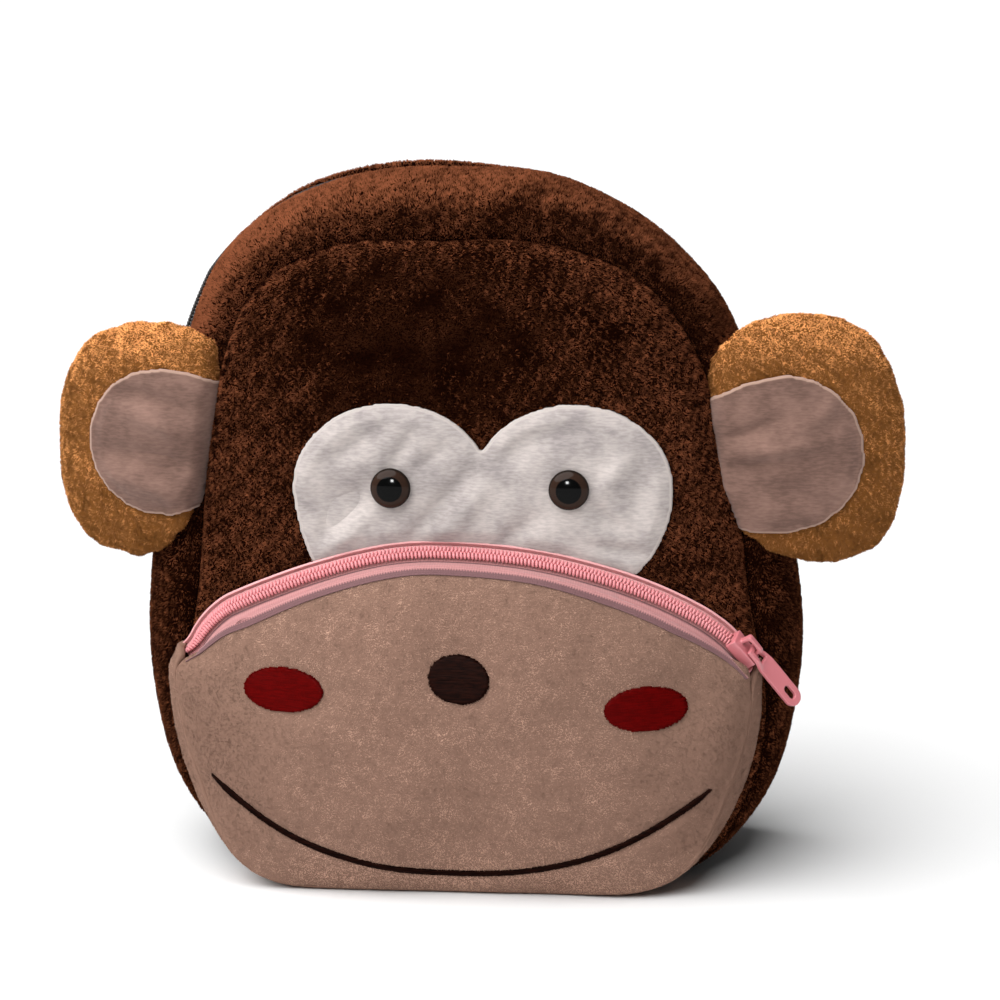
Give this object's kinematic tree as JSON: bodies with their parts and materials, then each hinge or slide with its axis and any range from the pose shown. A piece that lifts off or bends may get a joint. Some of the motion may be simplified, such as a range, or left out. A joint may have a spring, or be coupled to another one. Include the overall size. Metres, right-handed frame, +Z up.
{
  "type": "plush animal backpack",
  "caption": "Hollow plush child's backpack with an animal face, stuffed ears, a zipped muzzle pocket, an arched main zip and padded shoulder straps.",
  "frame": {"origin": "on the surface that the bag stands on, under the middle of its box", "axes": "+X to the right as seen from the front, the face looks along -Y, +Z up"},
  "size_m": [0.3102, 0.137, 0.2607],
  "materials": {
    "plush_brown": "short dark brown plush pile",
    "plush_tan": "short golden tan plush pile",
    "plush_peach": "very short peach plush pile",
    "patch_white": "white brushed knit",
    "patch_rose": "dusty rose brushed knit",
    "thread_red": "red satin stitch",
    "thread_brown": "dark brown satin stitch",
    "zip_pink": "pink woven tape and nylon coil",
    "plastic_pink": "pink lacquered metal",
    "eye_gloss": "clear gloss over dark brown and black",
    "zip_dark": "dark woven tape and nylon coil",
    "webbing_brown": "ribbed dark brown webbing",
    "plastic_dark": "moulded dark brown plastic"
  },
  "bodies": {
    "bag": {"face_panel": "plush_brown", "arch_band_front": "plush_brown", "arch_band_back": "plush_brown", "base_gusset": "plush_brown", "back_panel": "plush_brown", "main_zip_tape": "zip_dark", "main_zip_coil": "zip_dark", "main_zip_slider": "plastic_dark", "muzzle_front": "plush_peach", "muzzle_gusset": "plush_peach", "pocket_tape_upper": "zip_pink", "pocket_tape_lower": "zip_pink", "pocket_zip_coil": "zip_pink", "pocket_slider": "plastic_pink", "eye_patch": "patch_white", "eye_left": "eye_gloss", "eye_right": "eye_gloss", "cheek_left": "thread_red", "cheek_right": "thread_red", "nose": "thread_brown", "smile": "thread_brown", "ear_left": "plush_tan", "ear_right": "plush_tan", "inner_ear_left": "patch_rose", "inner_ear_right": "patch_rose", "strap_pad_left": "plush_brown", "strap_pad_right": "plush_brown", "strap_webbing_left": "webbing_brown", "strap_webbing_right": "webbing_brown", "strap_buckle_left": "plastic_dark", "strap_buckle_right": "plastic_dark"},
    "pull": {"pocket_pull": "plastic_pink"}
  },
  "joints": [
    {"name": "pull_hinge", "type": "hinge", "parent": "bag", "child": "pull", "pos_m": [0.1008, -0.04248, 0.08939], "axis": [-0.2644, -0.8883, -0.3754], "range_deg": [0, 170]}
  ]
}
